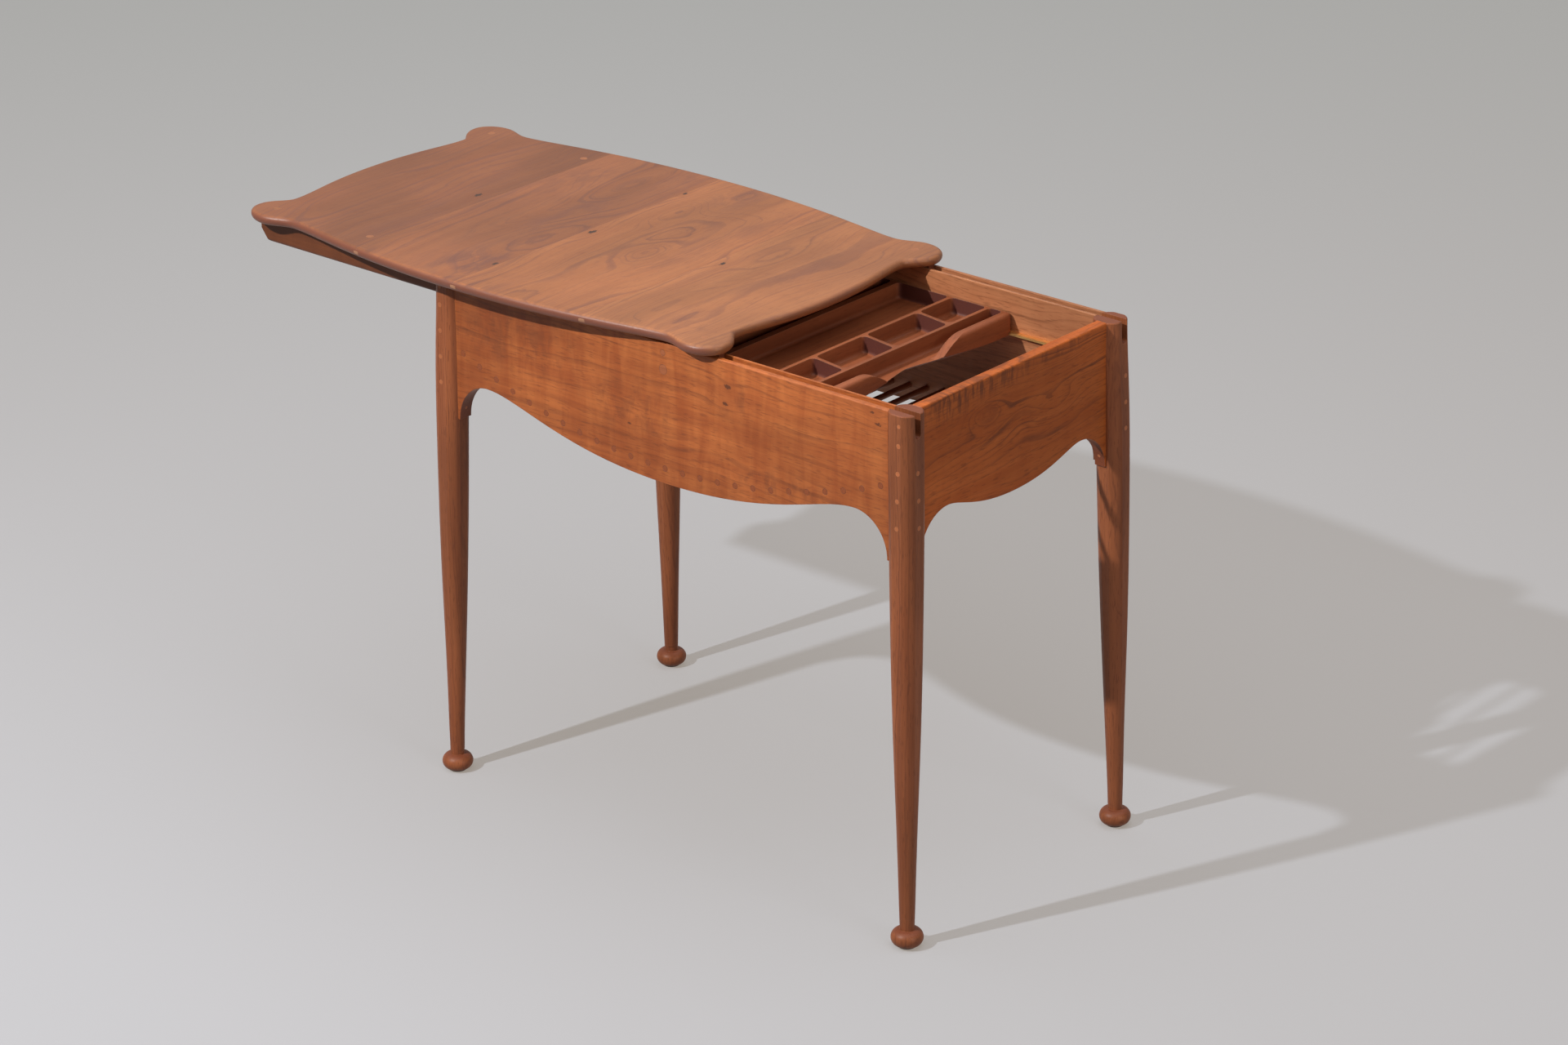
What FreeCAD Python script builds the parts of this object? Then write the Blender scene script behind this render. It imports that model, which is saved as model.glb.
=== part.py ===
import FreeCAD, Part
import math
import os

Vector = FreeCAD.Vector

# Shaker sewing desk. Millimetres, Z up, X along the desk, Y across it, floor at zero.
# The top is stored slid to the left, and the origin is under the middle of the whole desk.

# Frame and legs
frame_height = 700.0          # floor to the top edge of the aprons
foot_half_x = 385.0           # desk centre to foot centre, along the desk
foot_half_y = 212.6           # desk centre to foot centre, across the desk
leg_width = 40.0              # widest section of a leg
leg_lean = 13.5               # how far a leg leans in from its foot to its top
leg_top_round = 2.0
ball_diameter = 41.0
ball_height = 21.6
ball_flat_diameter = 24.0
glide_height = 2.0
glide_diameter = 23.0
glide_round = 0.8

# Shares of the frame height, the widest section, the lean, the corner facet, and a full round on it
leg_station_shares = (
    (0.043, 0.465, 0.02, 0.98, 1.00),
    (0.143, 0.560, 0.10, 0.86, 0.80),
    (0.286, 0.705, 0.24, 0.76, 0.65),
    (0.429, 0.840, 0.36, 0.70, 0.60),
    (0.571, 0.930, 0.49, 0.66, 0.55),
    (0.714, 0.980, 0.62, 0.64, 0.55),
    (0.857, 1.000, 0.80, 0.62, 0.55),
    (1.000, 0.980, 1.00, 0.62, 0.55),
)

# How the aprons meet the legs, from the centre of a foot
bracket_inset = 31.0          # to the tip of a bracket
apron_end_inset = 17.0        # to the end of an apron, inside the leg
peg_inset = 8.8
bracket_drop = 192.0          # top edge to the tips beside the legs
bracket_run = 51.0            # bracket tip to the crest of the arch beside it
apron_edge_round = 2.5        # along the outer top edge
apron_arris_round = 0.8       # along the inner top edge

# Long aprons
long_apron_setout = 0.4       # foot centre to the outer face
long_apron_belly_drop = 187.0
long_apron_crest_drop = 137.7

# Short aprons
short_apron_setback = 5.0     # foot centre to the outer face
short_apron_thickness = 15.0
short_apron_belly_drop = 163.3
short_apron_crest_drop = 140.5

# Shares of the run from the middle of an apron to its crest, for the two handles of its belly
belly_handle_shares = (0.58, 0.82)
quarter_ellipse_share = 0.5523

# Mortises, tenons and pegs
tenon_thickness = 8.0
long_tenon_offset = 5.0       # outer apron face to the tenon
long_tenon_reach = 29.0
short_tenon_offset = 4.0
short_tenon_reach = 14.0
tenon_top_drop = 40.0
tenon_foot_rise = 24.0        # bracket tip to the foot of a tenon
tenon_root = 4.5              # how far a tenon starts before the bracket tip
glue_gap = 0.05
peg_diameter = 6.0
peg_top_drop = 38.3
peg_spacing = 34.73
peg_depth = 20.0
side_peg_depth = 7.0
upper_peg_diameter = 5.0
upper_peg_drop = 13.7
upper_peg_depth = 9.0
bracket_peg_diameter = 4.0
bracket_peg_depth = 12.0
bracket_peg_rise = 14.0

# Runner groove along each long apron and out through the legs
groove_width = 10.5
groove_outer_lip = 6.0
groove_inner_lip = 3.5
groove_depth = 30.5
runner_clearance = 0.3

# Rack of rods under the tray
rack_count = 25
rack_end_inset = 21.2         # inside of a short apron to the last rod
rack_edge_height = 19.9       # lowest rod above the belly of the long apron
rack_end_rise = 19.0          # how much more the rack rises than the edge of the apron
rod_diameter = 8.0

# Tray rails
rail_drop = 51.5
rail_thickness = 3.0
rail_width = 11.5
rail_seat_depth = 4.0

# Top
top_length = 821.0            # ear tip to ear tip
top_overhang = 43.0           # outer face of a long apron to the widest part of the top
top_thickness = 14.0
top_gap = 3.5                 # aprons to the underside of the top
top_upper_round = 5.5
top_lower_round = 8.0
top_rest_offset = 314.75      # how far the stored top is slid to the left
board_joint_x = (-185.0, 0.0, 206.0)
spline_width = 8.8
spline_thickness = 4.4

# Shares of half the length and half the width, round one quarter of the outline
top_corner_shares = (
    ((0.0, 1.0), (0.4507, 1.0), (0.7012, 0.869), (0.7968, 0.869)),
    ((0.7968, 0.869), (0.8333, 0.869), (0.8639, 0.914), (0.9053, 0.914)),
    ((0.9053, 0.914), (0.9576, 0.914), (1.0, 0.862), (1.0, 0.793)),
    ((1.0, 0.793), (1.0, 0.700), (0.9453, 0.668), (0.9453, 0.617)),
    ((0.9453, 0.617), (0.9453, 0.475), (0.9862, 0.332), (0.9862, 0.0)),
)

# Runners under the top, their screws and plugs
runner_inset = 9.5            # ear tip to the end of a runner
runner_end_slope = 13.0
runner_end_height = 17.0
stop_pin_diameter = 6.0
stop_pin_drop = 14.1
stop_slot_depth = 5.5
stop_pin_end_gap = 0.8
small_plug_diameter = 8.0
large_plug_diameter = 13.0
large_plug_drop = 36.0
face_plug_depth = 5.0
fixing_inner_x = 201.5
fixing_outer_inset = 36.5     # ear tip to the outer fixings
plug_diameter = 10.0
plug_depth = 5.0
screw_head_diameter = 8.0
screw_head_height = 3.0
screw_shank_diameter = 4.0
screw_length = 20.0

# Tray
tray_left_x = 1.0
tray_height = 28.0
tray_floor = 6.0
tray_side_clearance = 0.7
tray_rail_clearance = 0.3
tray_side_wall = 4.8
tray_left_wall = 12.0
tray_left_divider = 10.0
tray_right_wall = 12.0
tray_divider = 5.0
tray_wide_pocket = 82.5
tray_small_pocket = 55.5
tray_narrow_pocket = 21.0
tray_outer_round = 7.0
pocket_round = 7.0
pocket_cove = 5.0
divider_skew = 9.0
divider_y = (-86.5, 10.5, 115.0)
grip_shoulder_y = 100.0
grip_shoulder_bend = 24.0
grip_foot_y = 48.0
grip_foot_bend = 16.0
grip_foot_rise = 9.0
scoop_half_length = 156.0     # finger hollow under the right edge, out from the middle
scoop_depth = 25.7            # how far in it starts, under the floor
scoop_run = 9.7               # how far out it leans through the thickness of the floor
scoop_middle_bend = 20.0
scoop_end_bend_x = 4.0
scoop_end_bend_y = 71.0
tray_lip_round = 5.0

overrun = 40.0                # how far a cutting tool runs past what it cuts

# Derived heights and places
leg_half = leg_width / 2
ankle_diameter = leg_width * leg_station_shares[0][1]
long_apron_tip_x = foot_half_x - bracket_inset
long_apron_end_x = foot_half_x - apron_end_inset
long_apron_crest_x = long_apron_tip_x - bracket_run
short_apron_tip_y = foot_half_y - bracket_inset
short_apron_end_y = foot_half_y - apron_end_inset
short_apron_crest_y = short_apron_tip_y - bracket_run
peg_x = foot_half_x - peg_inset
side_peg_y = foot_half_y - peg_inset
tenon_bottom_drop = bracket_drop - tenon_foot_rise
groove_half = groove_width / 2
groove_bottom = frame_height - groove_depth
groove_centre = groove_bottom + groove_half
long_apron_face_y = foot_half_y + long_apron_setout
long_apron_thickness = groove_outer_lip + groove_width + groove_inner_lip
long_apron_inner_y = long_apron_face_y - long_apron_thickness
groove_y = long_apron_face_y - groove_outer_lip - groove_half
short_apron_face_x = foot_half_x - short_apron_setback
short_apron_inner_x = short_apron_face_x - short_apron_thickness
rack_half_length = short_apron_inner_x - rack_end_inset
rack_low_drop = long_apron_belly_drop - rack_edge_height
rack_sag = long_apron_belly_drop - long_apron_crest_drop + rack_end_rise
rail_half_length = foot_half_x - leg_lean - leg_half
rail_top = frame_height - rail_drop
rail_bottom = rail_top - rail_thickness
top_under = frame_height + top_gap
top_upper = top_under + top_thickness
top_half_length = top_length / 2
top_half_width = long_apron_face_y + top_overhang
top_reach_y = top_half_width + overrun
fixing_outer_x = top_half_length - fixing_outer_inset
runner_length = top_length - 2 * runner_inset
stop_pin_z = frame_height - stop_pin_drop
stop_pin_length = groove_inner_lip + runner_clearance + stop_slot_depth - stop_pin_end_gap
tray_bottom = rail_bottom
tray_rim = tray_bottom + tray_height
tray_floor_z = tray_bottom + tray_floor
tray_half_y = long_apron_inner_y - tray_side_clearance
tray_end_left_x = tray_left_x + tray_left_wall
tray_wide_left_x = tray_end_left_x + tray_narrow_pocket + tray_left_divider
tray_small_left_x = tray_wide_left_x + tray_wide_pocket + tray_divider
tray_narrow_left_x = tray_small_left_x + tray_small_pocket + tray_divider
tray_right_x = tray_narrow_left_x + tray_narrow_pocket + tray_right_wall
left_end_x = -top_rest_offset - top_half_length
right_end_x = foot_half_x + ball_diameter / 2
stored_shift = Vector(-(left_end_x + right_end_x) / 2, 0, 0)
x_axis = Vector(1, 0, 0)
y_axis = Vector(0, 1, 0)
z_axis = Vector(0, 0, 1)
centre = Vector(0, 0, 0)


def block(x0, x1, y0, y1, z0, z1):
    return Part.makeBox(x1 - x0, y1 - y0, z1 - z0, Vector(x0, y0, z0))


def line(a, b):
    return Part.LineSegment(a, b).toShape()


def bezier(poles):
    curve = Part.BezierCurve()
    curve.setPoles(poles)
    return curve.toShape()


def prism(edges, run):
    return Part.Face(Part.Wire(edges)).extrude(run)


def export(name, shapes):
    shape = shapes if isinstance(shapes, Part.Shape) else Part.makeCompound(shapes)
    stored = shape.copy()
    stored.translate(stored_shift)
    stored.exportStep("parts/" + name + ".step")
    print(name, len(stored.Solids), stored.isValid(), round(stored.Volume))


def across_x(shape):
    return shape.mirror(centre, x_axis)


def across_y(shape):
    return shape.mirror(centre, y_axis)


def four_corners(shape):
    left = across_x(shape)
    return {
        "front_right": across_y(shape),
        "front_left": across_y(left),
        "back_left": left,
        "back_right": shape,
    }


# Legs, built for the corner at +X +Y
def leg_axis(height_share, lean_share):
    lean = leg_lean * lean_share
    return Vector(foot_half_x - lean, foot_half_y - lean, frame_height * height_share)


def faceted_square(middle, half, facet, crown_share):
    flat = half - facet
    chord = half - facet / 2
    full_round = flat + facet * math.cos(math.radians(45))
    bulge = chord + (full_round - chord) * crown_share
    edges = []
    for turn in range(4):
        spin = FreeCAD.Rotation(z_axis, 90 * turn)

        def spot(x, y):
            return middle + spin.multVec(Vector(x, y, 0))

        edges.append(line(spot(half, -flat), spot(half, flat)))
        edges.append(Part.Arc(spot(half, flat), spot(bulge, bulge), spot(flat, half)).toShape())
    return Part.Wire(edges)


def leg_shaft():
    wires = []
    for height_share, width_share, lean_share, facet_share, crown_share in leg_station_shares:
        half = leg_half * width_share
        middle = leg_axis(height_share, lean_share)
        wires.append(faceted_square(middle, half, half * facet_share, crown_share))
    shaft = Part.makeLoft(wires, True, False, False)
    top_edges = [edge for edge in shaft.Edges if edge.BoundBox.ZMin > frame_height - leg_top_round]
    return shaft.makeFillet(leg_top_round, top_edges)


def ball_foot():
    ball_middle = glide_height + ball_height / 2
    ball_top = glide_height + ball_height
    neck_top = frame_height * leg_station_shares[0][0] + ankle_diameter / 2
    flat = Vector(ball_flat_diameter / 2, 0, glide_height)
    widest = Vector(ball_diameter / 2, 0, ball_middle)
    neck = Vector(ankle_diameter / 2, 0, ball_top)
    neck_end = Vector(ankle_diameter / 2, 0, neck_top)
    axis_top = Vector(0, 0, neck_top)
    axis_bottom = Vector(0, 0, glide_height)
    edges = [
        line(axis_bottom, flat),
        Part.Arc(flat, widest, neck).toShape(),
        line(neck, neck_end),
        line(neck_end, axis_top),
        line(axis_top, axis_bottom),
    ]
    foot = Part.Face(Part.Wire(edges)).revolve(centre, z_axis, 360)
    foot.translate(Vector(foot_half_x, foot_half_y, 0))
    return foot


def glide():
    disc = Part.makeCylinder(glide_diameter / 2, glide_height, Vector(foot_half_x, foot_half_y, 0))
    lower = [edge for edge in disc.Edges if edge.BoundBox.ZMax < glide_height / 2]
    return disc.makeFillet(glide_round, lower)


def groove_cutter():
    # A round-bottomed channel that runs the whole length of the desk at +Y
    reach = foot_half_x + leg_width
    channel = block(-reach, reach, groove_y - groove_half, groove_y + groove_half,
                    groove_centre, frame_height + overrun)
    start = Vector(-reach, groove_y, groove_centre)
    return channel.fuse(Part.makeCylinder(groove_half, 2 * reach, start, x_axis))


def long_tenon(gap):
    outer = long_apron_face_y - long_tenon_offset
    return block(
        long_apron_tip_x - tenon_root, long_apron_tip_x + long_tenon_reach + gap,
        outer - tenon_thickness - gap, outer + gap,
        frame_height - tenon_bottom_drop - gap, frame_height - tenon_top_drop + gap,
    )


def short_tenon(gap):
    outer = short_apron_face_x - short_tenon_offset
    return block(
        outer - tenon_thickness - gap, outer + gap,
        short_apron_tip_y - tenon_root, short_apron_tip_y + short_tenon_reach + gap,
        frame_height - tenon_bottom_drop - gap, frame_height - tenon_top_drop + gap,
    )


def peg_rods(gap):
    # Face pegs run in along Y, side pegs along X
    pegs = []
    face = foot_half_y + leg_half
    side = foot_half_x + leg_half
    leg_face = foot_half_y + leg_half - leg_lean * leg_station_shares[-2][2]
    leg_side = foot_half_x + leg_half - leg_lean * leg_station_shares[-2][2]
    for step in range(4):
        z = frame_height - peg_top_drop - step * peg_spacing
        start = Vector(peg_x, leg_face - peg_depth - gap, z)
        length = face - start.y
        pegs.append(Part.makeCylinder(peg_diameter / 2 + gap, length, start, y_axis))
        if step:
            start = Vector(leg_side - side_peg_depth - gap, side_peg_y, z)
            pegs.append(Part.makeCylinder(peg_diameter / 2 + gap, side - start.x, start, x_axis))
    start = Vector(peg_x, leg_face - upper_peg_depth - gap, frame_height - upper_peg_drop)
    pegs.append(Part.makeCylinder(upper_peg_diameter / 2 + gap, face - start.y, start, y_axis))
    return pegs


def bracket_peg_rods(gap):
    z = frame_height - bracket_drop + bracket_peg_rise
    radius = bracket_peg_diameter / 2 + gap
    long_middle = long_apron_face_y - long_apron_thickness / 2
    short_middle = short_apron_face_x - short_apron_thickness / 2
    long_start = Vector(long_apron_crest_x, long_middle, z)
    short_start = Vector(short_middle, short_apron_crest_y, z)
    long_run = long_apron_tip_x + bracket_peg_depth - long_apron_crest_x + gap
    short_run = short_apron_tip_y + bracket_peg_depth - short_apron_crest_y + gap
    return [
        Part.makeCylinder(radius, long_run, long_start, x_axis),
        Part.makeCylinder(radius, short_run, short_start, y_axis),
    ]


# Aprons, as outlines from the middle to the leg at the positive end
def apron_outline(spot, end, belly_drop, crest_drop, crest, tip):
    belly_z = frame_height - belly_drop
    crest_z = frame_height - crest_drop
    tip_z = frame_height - bracket_drop
    near, far = (share * crest for share in belly_handle_shares)
    across = (tip - crest) * quarter_ellipse_share
    down = (crest_z - tip_z) * quarter_ellipse_share
    edges = []
    for side in (1, -1):
        edges.append([
            line(spot(0, frame_height), spot(side * end, frame_height)),
            line(spot(side * end, frame_height), spot(side * end, tip_z)),
            line(spot(side * end, tip_z), spot(side * tip, tip_z)),
            bezier([spot(side * tip, tip_z), spot(side * tip, tip_z + down),
                    spot(side * (crest + across), crest_z), spot(side * crest, crest_z)]),
            bezier([spot(side * crest, crest_z), spot(side * far, crest_z),
                    spot(side * near, belly_z), spot(0, belly_z)]),
        ])
    return edges[0] + edges[1][::-1]


def top_edges_near(blank, side, place):
    close = apron_arris_round / 2
    found = []
    for edge in blank.Edges:
        box = edge.BoundBox
        if box.ZMin > frame_height - close and abs(getattr(box, side) - place) < close:
            found.append(edge)
    return found


def long_apron_blank():
    def spot(x, z):
        return Vector(x, long_apron_inner_y, z)

    edges = apron_outline(spot, long_apron_end_x, long_apron_belly_drop, long_apron_crest_drop,
                          long_apron_crest_x, long_apron_tip_x)
    blank = prism(edges, Vector(0, long_apron_thickness, 0))
    outer = top_edges_near(blank, "YMin", long_apron_face_y)
    inner = top_edges_near(blank, "YMax", long_apron_inner_y)
    return blank.makeFillet(apron_edge_round, outer).makeFillet(apron_arris_round, inner)


def short_apron_blank():
    def spot(y, z):
        return Vector(short_apron_inner_x, y, z)

    edges = apron_outline(spot, short_apron_end_y, short_apron_belly_drop, short_apron_crest_drop,
                          short_apron_crest_y, short_apron_tip_y)
    blank = prism(edges, Vector(short_apron_thickness, 0, 0))
    outer = top_edges_near(blank, "XMin", short_apron_face_x)
    inner = top_edges_near(blank, "XMax", short_apron_inner_x)
    return blank.makeFillet(apron_edge_round, outer).makeFillet(apron_arris_round, inner)


def rack_places():
    # The rods hang along an arc, lowest in the middle
    radius = (rack_half_length ** 2 + rack_sag ** 2) / (2 * rack_sag)
    step = 2 * rack_half_length / (rack_count - 1)
    places = []
    for index in range(rack_count):
        x = index * step - rack_half_length
        z = frame_height - rack_low_drop + radius - math.sqrt(radius ** 2 - x ** 2)
        places.append((x, z))
    return places


def rod(x, z, gap=0.0):
    start = Vector(x, -long_apron_face_y - gap, z)
    length = 2 * (long_apron_face_y + gap)
    return Part.makeCylinder(rod_diameter / 2 + gap, length, start, y_axis)


def rail(reach=rail_half_length):
    outer = long_apron_inner_y + rail_seat_depth
    return block(-reach, reach, outer - rail_width, outer, rail_bottom, rail_top)


def stop_pin(gap=0.0):
    # Set in the inner lip, its tip in the slot of the runner
    start = Vector(0, long_apron_inner_y - gap, stop_pin_z)
    return Part.makeCylinder(stop_pin_diameter / 2 + gap, stop_pin_length + 2 * gap, start, y_axis)


def face_plugs(gap=0.0):
    plugs = []
    for diameter, z in ((small_plug_diameter, stop_pin_z),
                        (large_plug_diameter, frame_height - large_plug_drop)):
        start = Vector(0, long_apron_face_y - face_plug_depth - gap, z)
        plugs.append(Part.makeCylinder(diameter / 2 + gap, face_plug_depth + 2 * gap, start, y_axis))
    return plugs


def build_frame():
    groove = groove_cutter()
    raw_leg = leg_shaft().fuse(ball_foot()).removeSplitter()
    peg_holes = peg_rods(glue_gap) + bracket_peg_rods(glue_gap)
    leg = raw_leg.cut([groove, long_tenon(glue_gap), short_tenon(glue_gap)] + peg_holes)
    long_blank = long_apron_blank()
    short_blank = short_apron_blank()
    both_ends = [raw_leg, across_x(raw_leg)]
    both_sides = [raw_leg, across_y(raw_leg)]

    long_apron = long_blank.cut(both_ends)
    long_apron = long_apron.fuse([long_tenon(0.0), across_x(long_tenon(0.0))])
    holes = peg_holes + [across_x(hole) for hole in peg_holes]
    rods = [rod(x, z, glue_gap) for x, z in rack_places()]
    holes += rods + face_plugs(glue_gap) + [groove, rail(long_apron_end_x), stop_pin(glue_gap)]
    long_apron = long_apron.cut(holes)

    short_apron = short_blank.cut(both_sides)
    short_apron = short_apron.fuse([short_tenon(0.0), across_y(short_tenon(0.0))])
    short_apron = short_apron.cut(peg_holes + [across_y(hole) for hole in peg_holes])

    pegs = [peg.common(raw_leg) for peg in peg_rods(0.0)]
    pegs += [peg.common(raw_leg.fuse([long_blank, short_blank])) for peg in bracket_peg_rods(0.0)]

    for place, shape in four_corners(leg).items():
        export("leg_" + place, shape)
    for place, shape in four_corners(glide()).items():
        export("glide_" + place, shape)
    for place, shape in four_corners(Part.makeCompound(pegs)).items():
        export("pegs_" + place, shape)
    export("apron_front", across_y(long_apron))
    export("apron_back", long_apron)
    export("apron_right", short_apron)
    export("apron_left", across_x(short_apron))
    for index, (x, z) in enumerate(rack_places()):
        export("rack_rod_%02d" % (index + 1), rod(x, z))
    export("tray_rail_front", across_y(rail()))
    export("tray_rail_back", rail())
    export("stop_pins", [stop_pin(), across_y(stop_pin())])
    plugs = Part.makeCompound(face_plugs())
    export("face_plugs", [plugs, across_y(plugs)])


# Top
def top_blank():
    def spot(shares, side_x, side_y):
        x = shares[0] * side_x * top_half_length - top_rest_offset
        return Vector(x, shares[1] * side_y * top_half_width, top_under)

    edges = []
    for side_x, side_y in ((1, 1), (1, -1), (-1, -1), (-1, 1)):
        quarter = [[spot(pole, side_x, side_y) for pole in span] for span in top_corner_shares]
        if side_x != side_y:
            quarter = [span[::-1] for span in quarter[::-1]]
        edges += [bezier(span) for span in quarter]
    slab = prism(edges, Vector(0, 0, top_thickness))
    middle = top_under + top_thickness / 2
    upper = [edge for edge in slab.Edges if edge.BoundBox.ZMin > middle]
    slab = slab.makeFillet(top_upper_round, upper)
    lower = [edge for edge in slab.Edges if edge.BoundBox.ZMax < top_under + top_lower_round / 2]
    return slab.makeFillet(top_lower_round, lower)


def spline_blank(x, gap=0.0):
    middle = top_under + top_thickness / 2
    half = spline_width / 2 + gap
    rise = spline_thickness / 2 + gap
    return block(x - half, x + half, -top_reach_y, top_reach_y, middle - rise, middle + rise)


def fixing_places():
    places = []
    for x in (-fixing_outer_x, -fixing_inner_x, fixing_inner_x, fixing_outer_x):
        for y in (-groove_y, groove_y):
            places.append((x - top_rest_offset, y))
    return places


def runner_plug(x, y, gap=0.0):
    start = Vector(x, y, top_upper - plug_depth - gap)
    return Part.makeCylinder(plug_diameter / 2 + gap, plug_depth + 2 * gap, start, z_axis)


def runner_screw(x, y, gap=0.0):
    head_top = top_upper - plug_depth
    shank_bottom = head_top - screw_length - gap
    head = Part.makeCylinder(screw_head_diameter / 2 + gap, screw_head_height + gap,
                             Vector(x, y, head_top - screw_head_height - gap), z_axis)
    shank = Part.makeCylinder(screw_shank_diameter / 2 + gap, screw_length + gap,
                              Vector(x, y, shank_bottom), z_axis)
    return head.fuse(shank).removeSplitter()


def runner():
    # A board on edge with a rounded foot, sloped ends and a blind slot for the stop pin
    half_width = groove_half - runner_clearance
    bottom = groove_bottom + runner_clearance
    half_length = runner_length / 2
    slope_end = bottom + runner_end_height
    outline = [(-half_length, top_under), (half_length, top_under), (half_length, slope_end),
               (half_length - runner_end_slope, bottom), (runner_end_slope - half_length, bottom),
               (-half_length, slope_end)]
    inner_y = groove_y - half_width
    corners = [Vector(x - top_rest_offset, inner_y, z) for x, z in outline]
    edges = [line(a, b) for a, b in zip(corners, corners[1:] + corners[:1])]
    side_view = prism(edges, Vector(0, 2 * half_width, 0))
    left = -top_rest_offset - half_length
    body = block(left, left + runner_length, inner_y, inner_y + 2 * half_width, groove_centre, top_under)
    foot = Part.makeCylinder(half_width, runner_length, Vector(left, groove_y, groove_centre), x_axis)
    board = side_view.common(body.fuse(foot).removeSplitter())
    slot_half = stop_pin_diameter / 2 + runner_clearance
    slot_reach = top_rest_offset
    slot_start = inner_y - overrun
    slot_stop = inner_y + stop_slot_depth
    slot = block(-top_rest_offset - slot_reach, -top_rest_offset + slot_reach,
                 slot_start, slot_stop, stop_pin_z - slot_half, stop_pin_z + slot_half)
    slot_ends = []
    for side in (-1, 1):
        start = Vector(side * slot_reach - top_rest_offset, slot_start, stop_pin_z)
        slot_ends.append(Part.makeCylinder(slot_half, slot_stop - slot_start, start, y_axis))
    return board.cut([slot] + slot_ends + [runner_screw(x, y, glue_gap) for x, y in fixing_places()])


def build_top():
    blank = top_blank()
    joints = [joint - top_rest_offset for joint in board_joint_x]
    ends = [left_end_x - overrun] + joints + [left_end_x + top_length + overrun]
    holes = [runner_plug(x, y, glue_gap) for x, y in fixing_places()]
    holes += [runner_screw(x, y, glue_gap) for x, y in fixing_places()]
    bored = blank.cut([spline_blank(joint, glue_gap) for joint in joints] + holes)
    for index, (left, right) in enumerate(zip(ends[:-1], ends[1:])):
        slab = block(left, right, -top_reach_y, top_reach_y, top_under - overrun, top_upper + overrun)
        export("top_board_%d" % (index + 1), bored.common(slab))
    for index, joint in enumerate(joints):
        export("top_spline_%d" % (index + 1), spline_blank(joint).common(blank).cut(holes))
    export("runner_back", runner())
    export("runner_front", across_y(runner()))
    export("runner_plugs", [runner_plug(x, y) for x, y in fixing_places()])
    export("runner_screws", [runner_screw(x, y) for x, y in fixing_places()])


# Tray
def rounded_prism(x0, x1, y0, y1, z0, z1, radius, skew_low=0.0, skew_high=0.0):
    # The ends can be skewed: the side at x1 lies further towards -Y
    corners = [Vector(x0, y0, z0), Vector(x1, y0 - skew_low, z0),
               Vector(x1, y1 - skew_high, z0), Vector(x0, y1, z0)]
    edges = [line(a, b) for a, b in zip(corners, corners[1:] + corners[:1])]
    solid = prism(edges, Vector(0, 0, z1 - z0))
    upright = [edge for edge in solid.Edges if edge.BoundBox.ZLength > (z1 - z0) / 2]
    return solid.makeFillet(radius, upright)


def pocket(x0, x1, y0, y1, skew_low=0.0, skew_high=0.0):
    # A hollow with round corners and a coved floor
    top = tray_rim + overrun
    hollow = rounded_prism(x0, x1, y0, y1, tray_floor_z, top, pocket_round, skew_low, skew_high)
    floor_edges = [edge for edge in hollow.Edges if edge.BoundBox.ZMax < tray_floor_z + pocket_cove]
    return hollow.makeFillet(pocket_cove, floor_edges)


def grip_dip():
    # The dip in the right wall and the cove inside it, seen along X
    inner = tray_right_x - tray_right_wall - pocket_cove
    top = tray_rim + overrun

    def wall_spot(y, z):
        return Vector(inner, y, z)

    side = [(grip_shoulder_y, tray_rim), (grip_shoulder_y - grip_shoulder_bend, tray_rim),
            (grip_foot_y + grip_foot_bend, tray_floor_z + grip_foot_rise), (grip_foot_y, tray_floor_z)]
    near = [wall_spot(-y, z) for y, z in side]
    far = [wall_spot(y, z) for y, z in side]
    above_near = wall_spot(-grip_shoulder_y, top)
    above_far = wall_spot(grip_shoulder_y, top)
    edges = [line(above_near, above_far), line(above_far, far[0]), bezier(far),
             line(far[-1], near[-1]), bezier(near[::-1]), line(near[0], above_near)]
    return prism(edges, Vector(tray_right_wall + pocket_cove + overrun, 0, 0))


def grip_scoop():
    # The finger hollow under the right edge, which leaves a thin lip in the dip
    middle_x = tray_right_x - scoop_depth
    reach = tray_right_x + overrun

    def spot(x, y):
        return Vector(x, y, tray_bottom)

    far = [spot(middle_x, 0), spot(middle_x, scoop_middle_bend),
           spot(tray_right_x - scoop_end_bend_x, scoop_half_length - scoop_end_bend_y),
           spot(tray_right_x, scoop_half_length)]
    near = [spot(pole.x, -pole.y) for pole in far]
    edges = [bezier(near[::-1]), bezier(far), line(far[-1], spot(reach, scoop_half_length)),
             line(spot(reach, scoop_half_length), spot(reach, -scoop_half_length)),
             line(spot(reach, -scoop_half_length), near[-1])]
    lean = scoop_run / tray_floor
    return prism(edges, Vector(lean * tray_height, 0, tray_height))


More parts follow.
